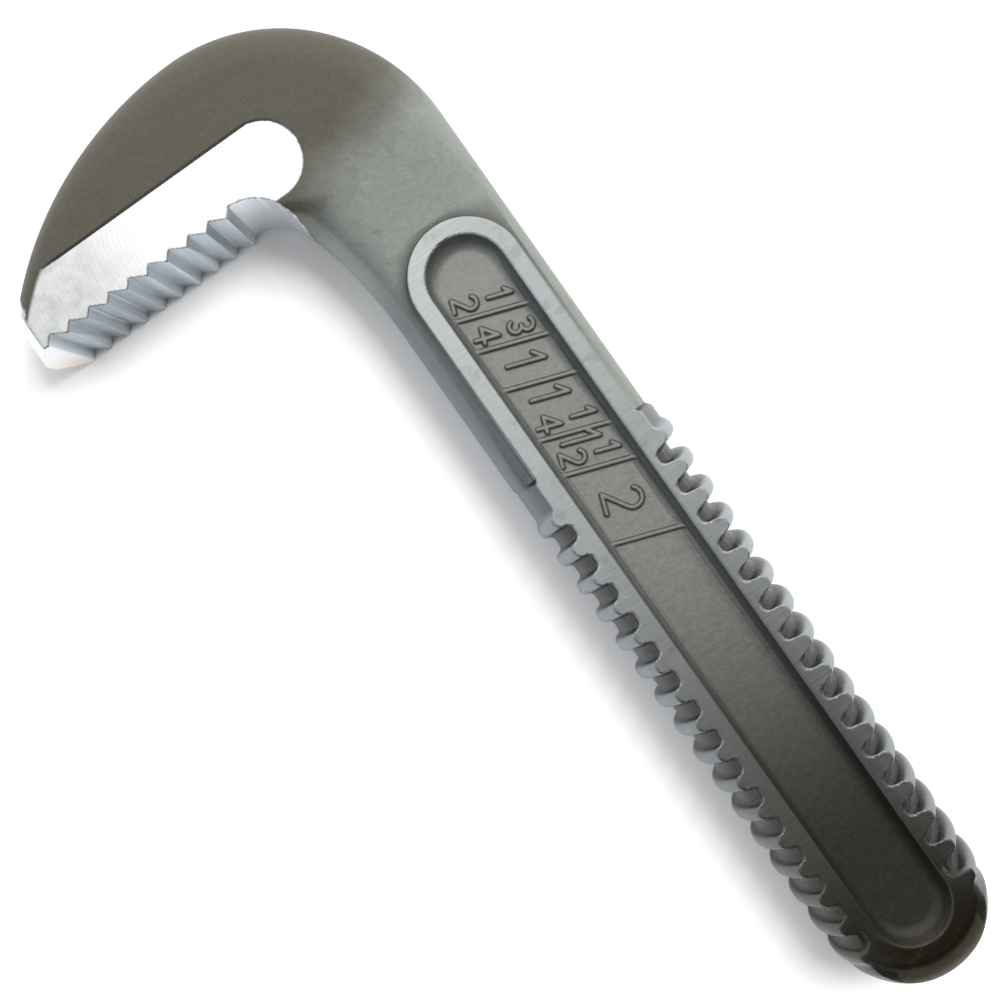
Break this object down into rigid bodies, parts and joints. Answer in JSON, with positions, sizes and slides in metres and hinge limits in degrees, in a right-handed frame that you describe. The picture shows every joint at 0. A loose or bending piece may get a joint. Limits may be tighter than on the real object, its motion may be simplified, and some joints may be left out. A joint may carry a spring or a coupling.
{
  "type": "pipe wrench hook jaw",
  "caption": "Forged steel hook jaw of a straight pipe wrench: threaded shank with a pipe-size scale, milled jaw flats and ratchet teeth.",
  "frame": {"origin": "on the thread's axis at the tail end of the shank, on the parting plane", "axes": "+Y along the shank towards the hook, -X towards the jaw's nose, +Z square to the flat side"},
  "size_m": [0.0709, 0.1742, 0.0166],
  "materials": {
    "forged_steel": "dark forging scale with ground and milled faces"
  },
  "bodies": {
    "root": {"hook_jaw": "forged_steel"}
  },
  "joints": []
}
